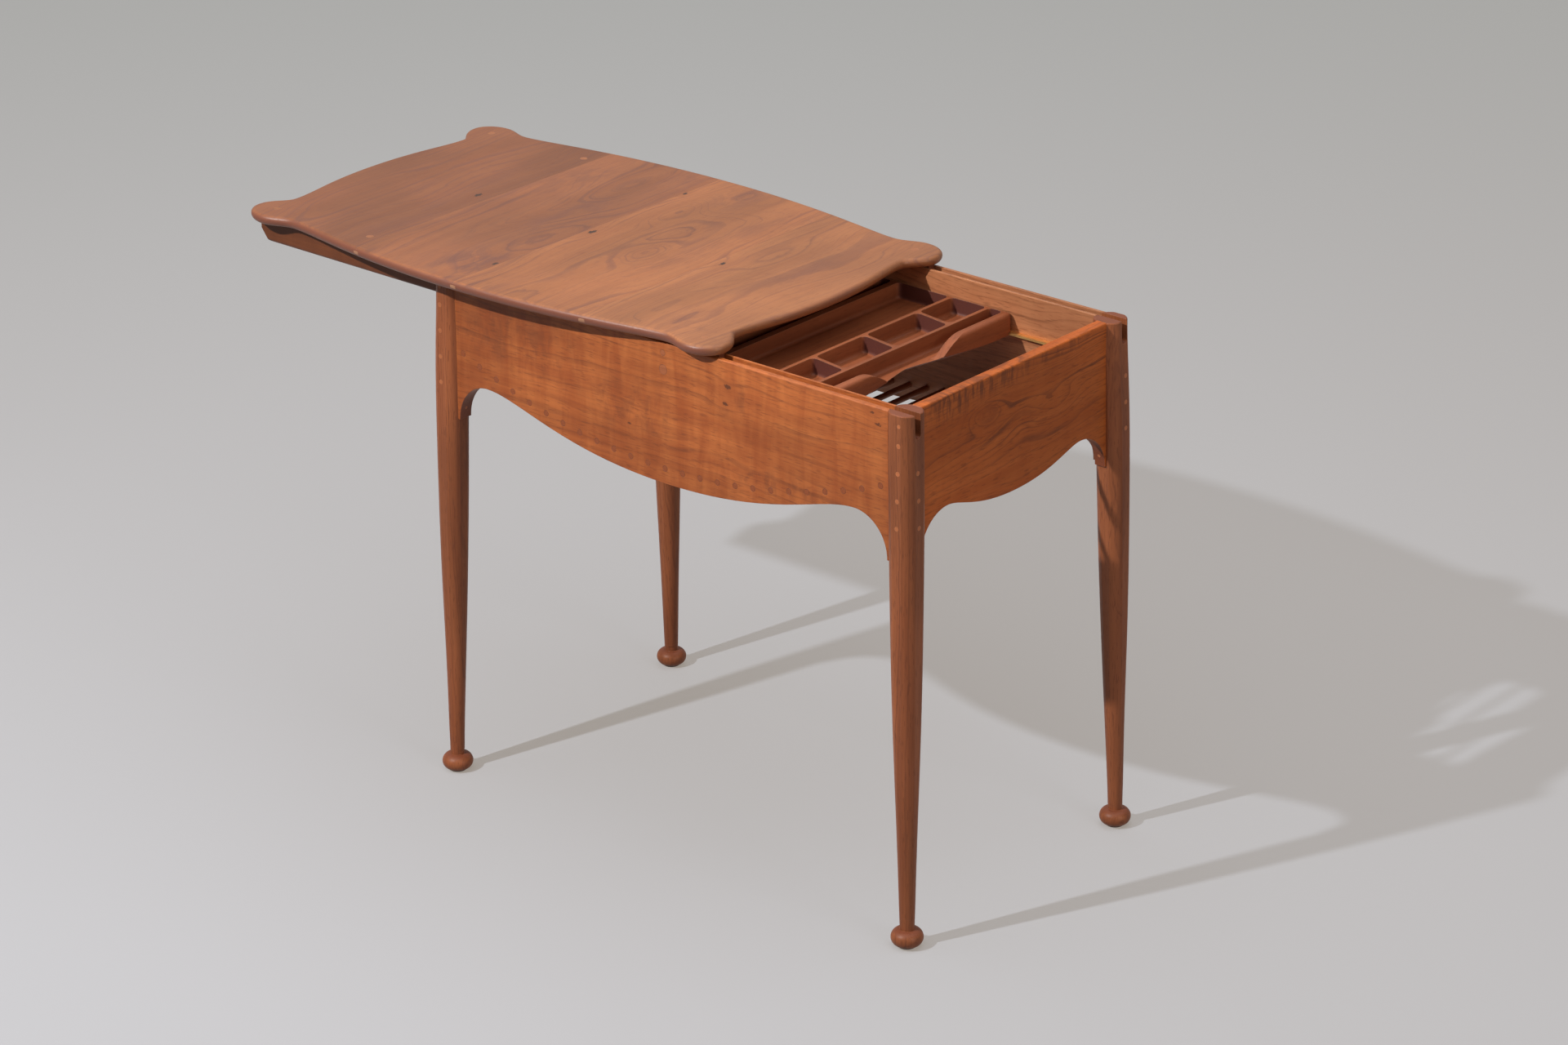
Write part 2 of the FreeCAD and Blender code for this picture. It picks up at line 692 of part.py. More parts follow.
def build_tray():
    body = rounded_prism(tray_left_x, tray_right_x, -tray_half_y, tray_half_y, tray_bottom, tray_rim,
                         tray_outer_round)
    lip = [edge for edge in body.Edges if edge.BoundBox.ZMin > tray_rim - tray_lip_round
           and edge.BoundBox.XMin > tray_right_x - tray_lip_round]
    body = body.makeFillet(tray_lip_round, lip)
    rail_edge = long_apron_inner_y + rail_seat_depth - rail_width - tray_side_clearance
    rebate = block(tray_left_x - overrun, tray_right_x + overrun, rail_edge, tray_half_y + overrun,
                   tray_bottom - overrun, rail_top + tray_rail_clearance)
    inside_y = tray_half_y - tray_side_wall
    small_right = tray_small_left_x + tray_small_pocket
    cutters = [rebate, across_y(rebate)]
    for left, width in ((tray_end_left_x, tray_narrow_pocket), (tray_wide_left_x, tray_wide_pocket),
                        (tray_narrow_left_x, tray_narrow_pocket)):
        cutters.append(pocket(left, left + width, -inside_y, inside_y))
    lows = [-inside_y] + [y + tray_divider / 2 + divider_skew / 2 for y in divider_y]
    highs = [y - tray_divider / 2 + divider_skew / 2 for y in divider_y] + [inside_y]
    for low, high in zip(lows, highs):
        skew_low = 0.0 if low == -inside_y else divider_skew
        skew_high = 0.0 if high == inside_y else divider_skew
        cutters.append(pocket(tray_small_left_x, small_right, low, high, skew_low, skew_high))
    body = body.cut(cutters)
    body = body.cut([grip_dip(), grip_scoop()])
    export("tray", body)


os.makedirs("parts", exist_ok=True)
build_frame()
build_top()
build_tray()
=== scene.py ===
import math

import bpy
from mathutils import Matrix, Vector

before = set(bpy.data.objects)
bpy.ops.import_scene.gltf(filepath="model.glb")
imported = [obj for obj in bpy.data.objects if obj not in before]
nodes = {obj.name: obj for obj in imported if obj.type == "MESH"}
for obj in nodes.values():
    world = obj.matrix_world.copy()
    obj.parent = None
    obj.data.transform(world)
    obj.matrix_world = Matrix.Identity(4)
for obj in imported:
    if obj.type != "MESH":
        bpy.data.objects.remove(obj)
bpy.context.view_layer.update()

# Which way the grain runs, as the turn that lays the grain along the first axis
ALONG_X = (0.0, 0.0, 0.0)
ALONG_Y = (0.0, 0.0, -math.pi / 2)
ALONG_Z = (0.0, math.pi / 2, 0.0)
GRAIN_AXIS = {ALONG_X: (1.0, 0.0, 0.0), ALONG_Y: (0.0, 1.0, 0.0), ALONG_Z: (0.0, 0.0, 1.0)}


# Small helpers for shader nodes
def add(tree, kind, **settings):
    made = tree.nodes.new("ShaderNode" + kind)
    for key, value in settings.items():
        setattr(made, key, value)
    return made


def feed(tree, target, value):
    if isinstance(value, bpy.types.NodeSocket):
        tree.links.new(value, target)
    elif value is not None:
        target.default_value = value


def sums(tree, operation, a, b=None):
    made = add(tree, "Math", operation=operation)
    feed(tree, made.inputs[0], a)
    feed(tree, made.inputs[1], b)
    return made.outputs[0]


def vector_sums(tree, operation, a, b=None, scale=None):
    made = add(tree, "VectorMath", operation=operation)
    feed(tree, made.inputs[0], a)
    feed(tree, made.inputs[1], b)
    feed(tree, made.inputs[3], scale)
    return made.outputs[1] if operation in ("DOT_PRODUCT", "LENGTH") else made.outputs[0]


def stretch(tree, vector, amounts):
    return vector_sums(tree, "MULTIPLY", vector, amounts)


def noise(tree, vector, scale=1.0, detail=3.0, roughness=0.5, distortion=0.0):
    made = add(tree, "TexNoise", noise_dimensions="3D")
    for name, value in (("Vector", vector), ("Scale", scale), ("Detail", detail),
                        ("Roughness", roughness), ("Distortion", distortion)):
        feed(tree, made.inputs[name], value)
    return made


# Noise along one line, for what changes from ring to ring
def line_noise(tree, where, detail=2.0):
    made = add(tree, "TexNoise", noise_dimensions="1D")
    feed(tree, made.inputs["W"], where)
    feed(tree, made.inputs["Detail"], detail)
    return made.outputs["Fac"]


# A smooth rise from 0 to 1 between two values of a mask
def between(tree, value, low, high):
    made = add(tree, "MapRange", interpolation_type="SMOOTHSTEP")
    for name, amount in (("Value", value), ("From Min", low), ("From Max", high)):
        feed(tree, made.inputs[name], amount)
    return made.outputs["Result"]


# A base plus a swing of a mask
def swing(tree, base, mask, amount):
    return sums(tree, "ADD", base, sums(tree, "MULTIPLY", mask, amount))


def blend_colours(tree, share, a, b, mode="MIX"):
    made = add(tree, "Mix", data_type="RGBA", blend_type=mode)
    feed(tree, made.inputs["Factor"], share)
    feed(tree, made.inputs[6], a)
    feed(tree, made.inputs[7], b)
    return made.outputs[2]


def new_group(name, inputs, outputs):
    tree = bpy.data.node_groups.new(name, "ShaderNodeTree")
    for label, kind, default in inputs:
        socket = tree.interface.new_socket(label, in_out="INPUT", socket_type="NodeSocket" + kind)
        if default is not None:
            socket.default_value = default
    for label, kind in outputs:
        tree.interface.new_socket(label, in_out="OUTPUT", socket_type="NodeSocket" + kind)
    return tree, tree.nodes.new("NodeGroupInput"), tree.nodes.new("NodeGroupOutput")


def use_group(tree, group, **inputs):
    made = add(tree, "Group", node_tree=group)
    for label, value in inputs.items():
        feed(tree, made.inputs[label.replace("_", " ")], value)
    return made


# How far a point lies from a centre, measured in lengths and widths of a shape
def reach(tree, given):
    offset = vector_sums(tree, "SUBTRACT", given.outputs["Vector"], given.outputs["Centre"])
    return vector_sums(tree, "LENGTH", stretch(tree, offset, given.outputs["Shape"]))


MIDDLE = 0.5
MID_GREY = (0.5, 0.5, 0.5)

# Growth rings: stretches are along the grain, across it and through the board, per metre
DRIFT_STRETCH = (1.0, 2.4, 2.4)
RIPPLE_STRETCH = (9.0, 34.0, 34.0)
RIPPLE_DEPTH = 0.010
RING_SHARPNESS = 6.0
RING_END = (1.0, 0.94)
SEASON_RATE = 0.46
SEASON_RANGE = (0.38, 0.66)
FAINTEST_RING = 0.2
AGE_RATE = 0.23
AGE_RANGE = (0.46, 0.68)
SMOKE_PATCH_STRETCH = (7.0, 14.0, 14.0)
SMOKE_PATCH_RANGE = (0.36, 0.60)


# Late-wood lines, from the distance to a heart line that wanders slowly along the board
def make_growth_group():
    tree, given, result = new_group(
        "growth rings",
        [("Vector", "Vector", None), ("Heart Across", "Float", 0.0), ("Heart Below", "Float", 0.1),
         ("Spacing", "Float", 0.007), ("Wander", "Float", 0.03), ("Twist", "Float", 3.0),
         ("Nest", "Float", 0.0)],
        [("Line", "Float"), ("Smoke", "Float")],
    )
    vector = given.outputs["Vector"]
    slow = noise(tree, stretch(tree, vector, DRIFT_STRETCH), given.outputs["Twist"], detail=2.0,
                 roughness=0.45)
    centred = vector_sums(tree, "SUBTRACT", slow.outputs["Color"], MID_GREY)
    moved = vector_sums(tree, "ADD", vector,
                        vector_sums(tree, "SCALE", centred, scale=given.outputs["Wander"]))
    parts = add(tree, "SeparateXYZ")
    feed(tree, parts.inputs[0], moved)
    across = sums(tree, "SUBTRACT", parts.outputs["Y"], given.outputs["Heart Across"])
    below = sums(tree, "ADD", parts.outputs["Z"], given.outputs["Heart Below"])
    away = sums(tree, "SQRT", sums(tree, "ADD", sums(tree, "MULTIPLY", across, across),
                                   sums(tree, "MULTIPLY", below, below)))
    wavy = noise(tree, stretch(tree, vector, RIPPLE_STRETCH), roughness=0.6)
    ripple = sums(tree, "MULTIPLY", sums(tree, "SUBTRACT", wavy.outputs["Fac"], MIDDLE),
                  RIPPLE_DEPTH)
    raised = sums(tree, "ADD", sums(tree, "ADD", away, ripple), given.outputs["Nest"])
    rings = sums(tree, "DIVIDE", raised, given.outputs["Spacing"])
    saw = sums(tree, "FRACT", rings)
    rise = sums(tree, "POWER", saw, RING_SHARPNESS)
    fall = between(tree, saw, *RING_END)
    seasons = line_noise(tree, sums(tree, "MULTIPLY", rings, SEASON_RATE))
    dry = sums(tree, "ADD", FAINTEST_RING, between(tree, seasons, *SEASON_RANGE))
    feed(tree, result.inputs["Line"],
         sums(tree, "MULTIPLY", dry, sums(tree, "MULTIPLY", rise, fall)))
    ages = line_noise(tree, sums(tree, "MULTIPLY", rings, AGE_RATE), detail=4.0)
    late = between(tree, ages, *AGE_RANGE)
    broad = noise(tree, stretch(tree, vector, SMOKE_PATCH_STRETCH), detail=2.0)
    patch = between(tree, broad.outputs["Fac"], *SMOKE_PATCH_RANGE)
    feed(tree, result.inputs["Smoke"], sums(tree, "MULTIPLY", late, patch))
    return tree


# How fine the feathered edge of a smoky patch is, along the grain and across it
EVEN_FEATHER = (150.0, 32.0, 32.0)
TOP_FEATHER = (14.0, 42.0, 42.0)
FRONT_FEATHER = (60.0, 30.0, 30.0)
NEST_FADE = (1.0, 0.0)
PATCH_FADE = (1.0, 0.25)
WISP_RANGE = (0.40, 0.64)


# A place where the rings bulge, so that the figure closes round it
def make_nest_group():
    tree, given, result = new_group(
        "nest", [("Vector", "Vector", None), ("Centre", "Vector", None),
                 ("Shape", "Vector", (1.0, 1.0, 1.0)), ("Lift", "Float", 0.02)],
        [("Rise", "Float")])
    inside = between(tree, reach(tree, given), *NEST_FADE)
    feed(tree, result.inputs["Rise"], sums(tree, "MULTIPLY", inside, given.outputs["Lift"]))
    return tree


# A smoky patch, feathered at its own fineness along and across the grain
def make_cloud_group():
    tree, given, result = new_group(
        "smoky patch", [("Vector", "Vector", None), ("Turned", "Vector", None),
                        ("Centre", "Vector", None), ("Shape", "Vector", (1.0, 1.0, 1.0)),
                        ("Feather", "Vector", EVEN_FEATHER), ("Strength", "Float", 0.5)],
        [("Share", "Float")])
    inside = between(tree, reach(tree, given), *PATCH_FADE)
    feather = noise(tree, stretch(tree, given.outputs["Turned"], given.outputs["Feather"]),
                    roughness=0.6, distortion=0.5)
    wisps = between(tree, feather.outputs["Fac"], *WISP_RANGE)
    feed(tree, result.inputs["Share"],
         sums(tree, "MULTIPLY", inside,
              sums(tree, "MULTIPLY", wisps, given.outputs["Strength"])))
    return tree


FIBRE_STRETCH = (7.0, 260.0, 260.0)
STREAK_STRETCH = (2.2, 46.0, 46.0)
PORE_STRETCH = (65.0, 520.0, 520.0)
PORE_RANGE = (0.56, 0.70)
CURL_STRETCH = (38.0, 6.0, 6.0)
CURL_RANGE = (0.32, 0.70)
TONE_STRETCH = (3.0, 7.0, 7.0)
TONE_RANGE = (0.32, 0.68)


# Fibre streaks, short dark pores, and curl that runs across the grain
def make_fibre_group():
    tree, given, result = new_group(
        "fibre and pores",
        [("Vector", "Vector", None)],
        [("Fibre", "Float"), ("Streak", "Float"), ("Pores", "Float"), ("Curl", "Float"),
         ("Tone", "Float")],
    )
    vector = given.outputs["Vector"]
    fine = noise(tree, stretch(tree, vector, FIBRE_STRETCH), detail=4.0, roughness=0.6)
    feed(tree, result.inputs["Fibre"], fine.outputs["Fac"])
    broad = noise(tree, stretch(tree, vector, STREAK_STRETCH), roughness=0.55, distortion=0.25)
    feed(tree, result.inputs["Streak"], broad.outputs["Fac"])
    dash = noise(tree, stretch(tree, vector, PORE_STRETCH), detail=1.5)
    feed(tree, result.inputs["Pores"], between(tree, dash.outputs["Fac"], *PORE_RANGE))
    bands = noise(tree, stretch(tree, vector, CURL_STRETCH), roughness=0.55, distortion=0.6)
    feed(tree, result.inputs["Curl"], between(tree, bands.outputs["Fac"], *CURL_RANGE))
    tone = noise(tree, stretch(tree, vector, TONE_STRETCH), detail=2.0)
    feed(tree, result.inputs["Tone"], between(tree, tone.outputs["Fac"], *TONE_RANGE))
    return tree


BEVEL_SAMPLES = 6
END_RANGE = (0.45, 0.95)
ARRIS_RANGE = (0.995, 0.80)


# How far a face is cut across the grain: 0 along it, 1 square to it
def make_end_group():
    tree, given, result = new_group(
        "end grain", [("Normal", "Vector", None), ("Axis", "Vector", (1.0, 0.0, 0.0))],
        [("End", "Float")])
    facing = vector_sums(tree, "DOT_PRODUCT", given.outputs["Normal"], given.outputs["Axis"])
    feed(tree, result.inputs["End"], between(tree, sums(tree, "ABSOLUTE", facing), *END_RANGE))
    return tree


# Edges eased by hand: a softened normal and a mask of the arris, which takes a tint; a pale tint
# there is partly wear and partly a painted highlight
def make_edge_group():
    tree, given, result = new_group(
        "eased edges", [("Width", "Float", 0.001)], [("Normal", "Vector"), ("Arris", "Float")])
    eased = add(tree, "Bevel", samples=BEVEL_SAMPLES)
    feed(tree, eased.inputs["Radius"], given.outputs["Width"])
    shape = add(tree, "NewGeometry")
    alike = vector_sums(tree, "DOT_PRODUCT", eased.outputs["Normal"], shape.outputs["Normal"])
    feed(tree, result.inputs["Normal"], eased.outputs["Normal"])
    feed(tree, result.inputs["Arris"], between(tree, alike, *ARRIS_RANGE))
    return tree


RAGGED_SCALE = 420.0
RAGGEDNESS = 1.3
EYE_RANGE = (0.80, 0.45)
SWIRL_RANGE = (4.0, 0.6)


# A small knot with a dark eye and a swirl round it
def make_knot_group():
    tree, given, result = new_group(
        "knot", [("Vector", "Vector", None), ("Centre", "Vector", None), ("Size", "Float", 0.005),
                 ("Shape", "Vector", (1.0, 1.0, 1.0))],
        [("Eye", "Float"), ("Swirl", "Float")])
    ragged = noise(tree, given.outputs["Vector"], RAGGED_SCALE, detail=2.0)
    push = sums(tree, "MULTIPLY", sums(tree, "SUBTRACT", ragged.outputs["Fac"], MIDDLE), RAGGEDNESS)
    near = sums(tree, "ADD", sums(tree, "DIVIDE", reach(tree, given), given.outputs["Size"]), push)
    feed(tree, result.inputs["Eye"], between(tree, near, *EYE_RANGE))
    feed(tree, result.inputs["Swirl"], between(tree, near, *SWIRL_RANGE))
    return tree


FULL = 1.0
STREAK_RANGE = (0.30, 0.70)
TONE_BASE, TONE_SWING = 0.84, 0.30
FIBRE_BASE, FIBRE_SWING = 0.86, 0.28
SPECK_STRETCH = (60.0, 900.0, 900.0)
SPECK_RANGE = (0.35, 0.75)
SPECK_SHARE = 0.5
SMOOTHEST, FIBRE_ROUGHNESS, PORE_ROUGHNESS = 0.40, 0.10, 0.15
FIBRE_RELIEF, RING_RELIEF = 0.4, 0.15


# The whole of a wood finish except its shading: colour, roughness and relief
def make_wood_group(growth, fibre):
    tree, given, result = new_group(
        "walnut",
        [("Vector", "Vector", None), ("End", "Float", 0.0), ("Arris", "Float", 0.0),
         ("Heart Across", "Float", 0.0), ("Heart Below", "Float", 0.1), ("Spacing", "Float", 0.007),
         ("Wander", "Float", 0.03), ("Twist", "Float", 3.0), ("Nest", "Float", 0.0),
         ("Pale", "Color", (0.4, 0.15, 0.05, 1.0)), ("Deep", "Color", (0.3, 0.1, 0.03, 1.0)),
         ("Smoke", "Color", (0.16, 0.07, 0.04, 1.0)), ("Cut", "Color", (0.2, 0.07, 0.035, 1.0)),
         # The arris tint and how much of it shows: the pale default is partly wear and partly a
         # painted highlight
         ("ArrisTint", "Color", (0.55, 0.28, 0.15, 1.0)), ("ArrisStrength", "Float", 0.25),
         ("Line Strength", "Float", 0.4), ("Smoke Strength", "Float", 0.3),
         ("Streak Strength", "Float", 0.5), ("Pore Strength", "Float", 0.4),
         ("Curl Strength", "Float", 0.2)],
        [("Color", "Color"), ("Roughness", "Float"), ("Height", "Float")],
    )
    vector = given.outputs["Vector"]
    rings = use_group(tree, growth, Vector=vector, Heart_Across=given.outputs["Heart Across"],
                      Heart_Below=given.outputs["Heart Below"], Spacing=given.outputs["Spacing"],
                      Wander=given.outputs["Wander"], Twist=given.outputs["Twist"],
                      Nest=given.outputs["Nest"])
    strands = use_group(tree, fibre, Vector=vector)
    streak = between(tree, strands.outputs["Streak"], *STREAK_RANGE)
    base = blend_colours(tree, sums(tree, "MULTIPLY", streak, given.outputs["Streak Strength"]),
                         given.outputs["Pale"], given.outputs["Deep"])
    line = sums(tree, "MULTIPLY", rings.outputs["Line"], given.outputs["Line Strength"])
    lined = blend_colours(tree, line, base, given.outputs["Smoke"])
    smoke = sums(tree, "MULTIPLY", rings.outputs["Smoke"], given.outputs["Smoke Strength"])
    smoked = blend_colours(tree, smoke, lined, given.outputs["Smoke"])
    curl = sums(tree, "MULTIPLY", strands.outputs["Curl"], given.outputs["Curl Strength"])
    curled = blend_colours(tree, curl, smoked, given.outputs["Deep"], "MULTIPLY")
    light = swing(tree, TONE_BASE, strands.outputs["Tone"], TONE_SWING)
    fine = swing(tree, FIBRE_BASE, strands.outputs["Fibre"], FIBRE_SWING)
    level = sums(tree, "MULTIPLY", light, fine)
    shade = add(tree, "CombineXYZ")
    for socket in shade.inputs:
        feed(tree, socket, level)
    toned = blend_colours(tree, FULL, curled, shade.outputs[0], "MULTIPLY")
    pores = sums(tree, "MULTIPLY", strands.outputs["Pores"], given.outputs["Pore Strength"])
    pored = blend_colours(tree, pores, toned, given.outputs["Smoke"])
    grains = noise(tree, stretch(tree, vector, SPECK_STRETCH), detail=2.0)
    speck = between(tree, grains.outputs["Fac"], *SPECK_RANGE)
    cut = blend_colours(tree, sums(tree, "MULTIPLY", speck, SPECK_SHARE), given.outputs["Cut"],
                        given.outputs["Smoke"])
    faced = blend_colours(tree, given.outputs["End"], pored, cut)
    # The arris takes its tint: a pale tint is partly wear and partly a painted highlight on the
    # rounded edge, a dark one is the dark ring round a rod end or a plug
    arris_tinted = blend_colours(tree, sums(tree, "MULTIPLY", given.outputs["Arris"],
                                    given.outputs["ArrisStrength"]), faced, given.outputs["ArrisTint"])
    feed(tree, result.inputs["Color"], arris_tinted)
    rough = swing(tree, SMOOTHEST, strands.outputs["Fibre"], FIBRE_ROUGHNESS)
    rough = swing(tree, rough, pores, PORE_ROUGHNESS)
    feed(tree, result.inputs["Roughness"], rough)
    dips = sums(tree, "SUBTRACT", sums(tree, "MULTIPLY", strands.outputs["Fibre"], FIBRE_RELIEF),
                swing(tree, pores, rings.outputs["Line"], RING_RELIEF))
    feed(tree, result.inputs["Height"], dips)
    return tree


growth_group = make_growth_group()
fibre_group = make_fibre_group()
end_group = make_end_group()
edge_group = make_edge_group()
knot_group = make_knot_group()
nest_group = make_nest_group()
cloud_group = make_cloud_group()
wood_group = make_wood_group(growth_group, fibre_group)


def start_material(name):
    material = bpy.data.materials.new(name)
    material.use_nodes = True
    tree = material.node_tree
    tree.nodes.clear()
    shader = add(tree, "BsdfPrincipled")
    output = add(tree, "OutputMaterial")
    tree.links.new(shader.outputs[0], output.inputs["Surface"])
    return material, tree, shader


def colour(red, green, blue):
    return (red, green, blue, 1.0)


WALNUT = dict(
    Pale=colour(0.40, 0.112, 0.034),
    Deep=colour(0.29, 0.072, 0.022),
    Smoke=colour(0.135, 0.040, 0.018),
    Cut=colour(0.22, 0.062, 0.028),
)


# A shape that is long with the grain and narrow across it
def along_grain(grain, length, width):
    return tuple(1.0 / length if share else 1.0 / width for share in GRAIN_AXIS[grain])


def add_nests(tree, grain, nests, where):
    total = None
    for centre, length, width, lift in nests:
        nest = use_group(tree, nest_group, Vector=where, Centre=centre, Lift=lift,
                         Shape=along_grain(grain, length, width))
        total = nest.outputs["Rise"] if total is None else sums(tree, "ADD", total,
                                                                nest.outputs["Rise"])
    return total


KNOT_LENGTH = 2.0
SWIRL_STRENGTH = 0.60

# The bulge round a knot, in knot sizes: length, width, lift
KNOT_BULGE = (11.0, 5.0, 2.2)


def knot_bulge(centre, size):
    length, width, lift = (size * share for share in KNOT_BULGE)
    return centre, length, width, lift


def add_knots(tree, grain, knots, where, shown, deep, eye):
    for centre, size in knots:
        knot = use_group(tree, knot_group, Vector=where, Centre=centre, Size=size,
                         Shape=along_grain(grain, KNOT_LENGTH, 1.0))
        swirl = sums(tree, "MULTIPLY", knot.outputs["Swirl"], SWIRL_STRENGTH)
        shown = blend_colours(tree, swirl, shown, deep)
        shown = blend_colours(tree, knot.outputs["Eye"], shown, eye)
    return shown


def add_clouds(tree, grain, clouds, feather, where, turned, shown, smoke):
    for centre, length, width, strength in clouds:
        cloud = use_group(tree, cloud_group, Vector=where, Turned=turned, Centre=centre,
                          Feather=feather, Strength=strength,
                          Shape=along_grain(grain, length, width))
        shown = blend_colours(tree, cloud.outputs["Share"], shown, smoke)
    return shown


COAT_ROUGHNESS = 0.28
RELIEF_STRENGTH = 0.6
RELIEF_DEPTH = 0.00012
KNOT_EYE = colour(0.140, 0.042, 0.017)
TOP_KNOT_EYE = colour(0.045, 0.018, 0.011)


# One wood finish. Knots, nests and clouds are given in the desk's own place, in metres
def wood(name, grain, knots=(), nests=(), clouds=(), feather=EVEN_FEATHER, along=0.0,
         edge=0.0008, coat=0.0, gloss=0.25, eye=KNOT_EYE, **look):
    material, tree, shader = start_material(name)
    place = add(tree, "TexCoord")
    where = place.outputs["Object"]
    turned = add(tree, "Mapping", vector_type="POINT")
    turned.inputs["Rotation"].default_value = grain
    turned.inputs["Location"].default_value = (along, 0.0, 0.0)
    feed(tree, turned.inputs["Vector"], where)
    cut_face = use_group(tree, end_group, Normal=place.outputs["Normal"], Axis=GRAIN_AXIS[grain])
    eased = use_group(tree, edge_group, Width=edge)
    settings = {**WALNUT, **look}
    bulges = list(nests) + [knot_bulge(centre, size) for centre, size in knots]
    made = use_group(tree, wood_group, Vector=turned.outputs[0], End=cut_face.outputs["End"],
                     Arris=eased.outputs["Arris"], Nest=add_nests(tree, grain, bulges, where),
                     **settings)
    shown = add_clouds(tree, grain, clouds, feather, where, turned.outputs[0],
                       made.outputs["Color"], settings["Smoke"])
    feed(tree, shader.inputs["Base Color"],
         add_knots(tree, grain, knots, where, shown, settings["Deep"], eye))
    feed(tree, shader.inputs["Roughness"], made.outputs["Roughness"])
    shader.inputs["Specular IOR Level"].default_value = gloss
    shader.inputs["Coat Weight"].default_value = coat
    shader.inputs["Coat Roughness"].default_value = COAT_ROUGHNESS
    bump = add(tree, "Bump")
    bump.inputs["Strength"].default_value = RELIEF_STRENGTH
    bump.inputs["Distance"].default_value = RELIEF_DEPTH
    feed(tree, bump.inputs["Height"], made.outputs["Height"])
    feed(tree, bump.inputs["Normal"], eased.outputs["Normal"])
    feed(tree, shader.inputs["Normal"], bump.outputs[0])
    return material


BRUSH_STRETCH = (12.0, 900.0, 900.0)
TARNISH_SCALE = 30.0
TARNISH_RANGE = (0.70, 1.30)
BRASS_DULL = colour(0.84, 0.48, 0.16)
BRASS_BRIGHT = colour(0.95, 0.61, 0.24)
STEEL_STRETCH = (400.0, 400.0, 60.0)
STEEL_DARK = colour(0.42, 0.42, 0.42)
STEEL_BRIGHT = colour(0.62, 0.62, 0.61)
NYLON_SCALE = 900.0
NYLON_DARK = colour(0.030, 0.022, 0.018)
NYLON_PALE = colour(0.060, 0.045, 0.036)


def fine_relief(tree, shader, height, depth):
    bump = add(tree, "Bump")
    bump.inputs["Distance"].default_value = depth
    feed(tree, bump.inputs["Height"], height)
    feed(tree, shader.inputs["Normal"], bump.outputs[0])


def brushed_brass():
    material, tree, shader = start_material("brushed brass")
    place = add(tree, "TexCoord")
    lines = noise(tree, stretch(tree, place.outputs["Object"], BRUSH_STRETCH))
    dull = noise(tree, place.outputs["Object"], TARNISH_SCALE)
    shade = between(tree, sums(tree, "ADD", lines.outputs["Fac"], dull.outputs["Fac"]),
                    *TARNISH_RANGE)
    feed(tree, shader.inputs["Base Color"], blend_colours(tree, shade, BRASS_DULL, BRASS_BRIGHT))
    shader.inputs["Metallic"].default_value = 1.0
    feed(tree, shader.inputs["Roughness"], swing(tree, base=0.40, mask=shade, amount=0.12))
    fine_relief(tree, shader, lines.outputs["Fac"], depth=0.00004)
    return material


def plain_steel():
    material, tree, shader = start_material("plain steel")
    place = add(tree, "TexCoord")
    marks = noise(tree, stretch(tree, place.outputs["Object"], STEEL_STRETCH))
    feed(tree, shader.inputs["Base Color"],
         blend_colours(tree, marks.outputs["Fac"], STEEL_DARK, STEEL_BRIGHT))
    shader.inputs["Metallic"].default_value = 1.0
    feed(tree, shader.inputs["Roughness"],
         swing(tree, base=0.30, mask=marks.outputs["Fac"], amount=0.15))
    return material


def glide_nylon():
    material, tree, shader = start_material("glide nylon")
    place = add(tree, "TexCoord")
    grain = noise(tree, place.outputs["Object"], NYLON_SCALE)
    feed(tree, shader.inputs["Base Color"],
         blend_colours(tree, grain.outputs["Fac"], NYLON_DARK, NYLON_PALE))
    feed(tree, shader.inputs["Roughness"],
         swing(tree, base=0.55, mask=grain.outputs["Fac"], amount=0.2))
    fine_relief(tree, shader, grain.outputs["Fac"], depth=0.00005)
    return material


# Top boards: warm tan, with a wavy smoky figure
TOP_PALE = colour(0.43, 0.165, 0.062)
TOP_DEEP = colour(0.345, 0.122, 0.046)
TOP = dict(
    Smoke=colour(0.165, 0.060, 0.038),
    Cut=colour(0.20, 0.060, 0.030),
    Line_Strength=0.62,
    Streak_Strength=0.6,
    Pore_Strength=0.25,
    Curl_Strength=0.05,
    Wander=0.10,
    Twist=2.6,
    Heart_Below=-0.66,
)

